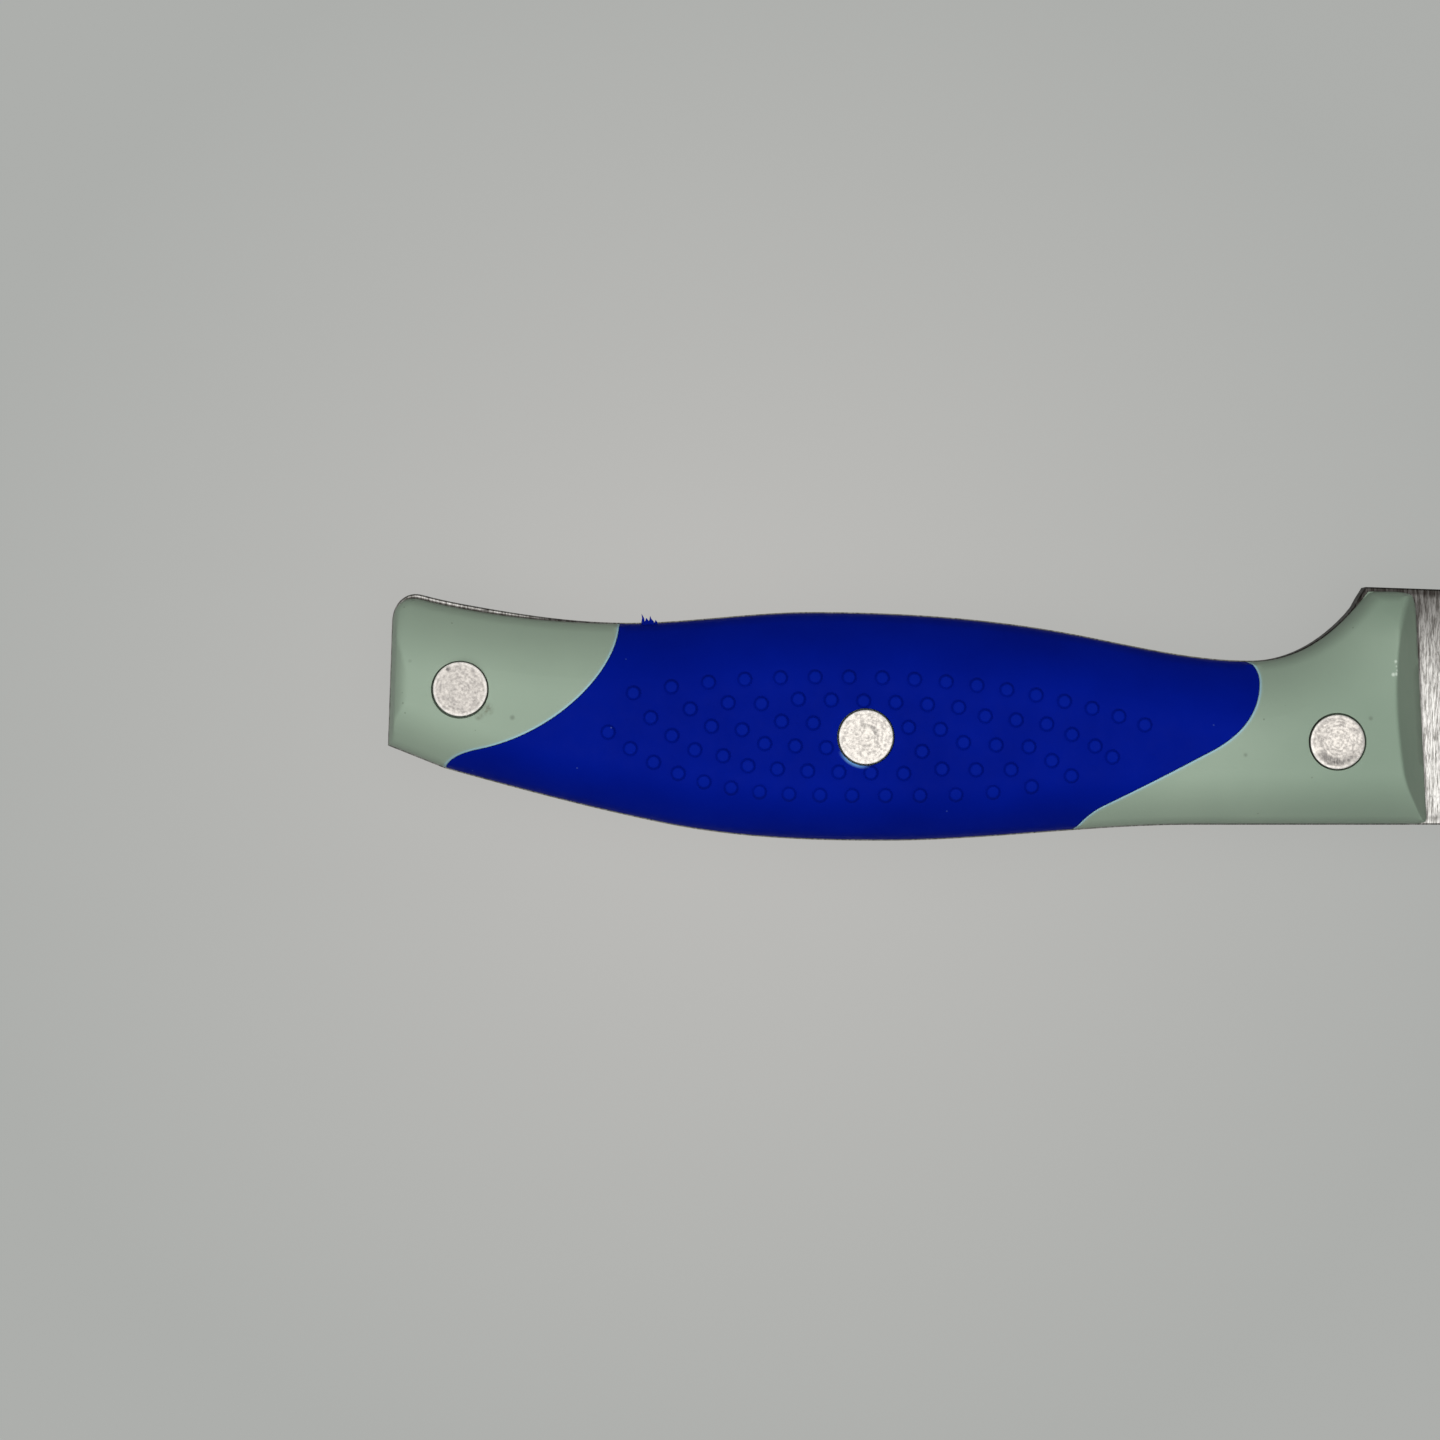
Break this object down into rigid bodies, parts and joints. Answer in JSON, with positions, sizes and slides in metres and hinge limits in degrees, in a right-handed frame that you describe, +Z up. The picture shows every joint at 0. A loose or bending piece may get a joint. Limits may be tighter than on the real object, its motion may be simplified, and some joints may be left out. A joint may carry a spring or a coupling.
{
  "type": "sticking knife",
  "caption": "Pointed sticking knife: full-tang steel blade between riveted handle scales of hard pale-green plastic with a soft blue pimpled grip, a finger notch, guard and pommel beak.",
  "frame": {"origin": "on the resting surface, under the middle of the bounding box", "axes": "+X along the knife towards the point, +Y towards the cutting edge, +Z up, out of the knife's left side as it lies on its right side"},
  "size_m": [0.2944, 0.0318, 0.0196],
  "materials": {
    "steel": "satin, ground across the blade",
    "hard_plastic": "semi-matte moulded",
    "soft_plastic": "matte soft-touch moulded",
    "rivet_metal": "faced, slightly mottled"
  },
  "bodies": {
    "root": {"blade": "steel", "left_scale": "hard_plastic", "right_scale": "hard_plastic", "left_grip": "soft_plastic", "right_grip": "soft_plastic", "pommel_rivet_male": "rivet_metal", "pommel_rivet_female": "rivet_metal", "grip_rivet_male": "rivet_metal", "grip_rivet_female": "rivet_metal", "guard_rivet_male": "rivet_metal", "guard_rivet_female": "rivet_metal"}
  },
  "joints": []
}
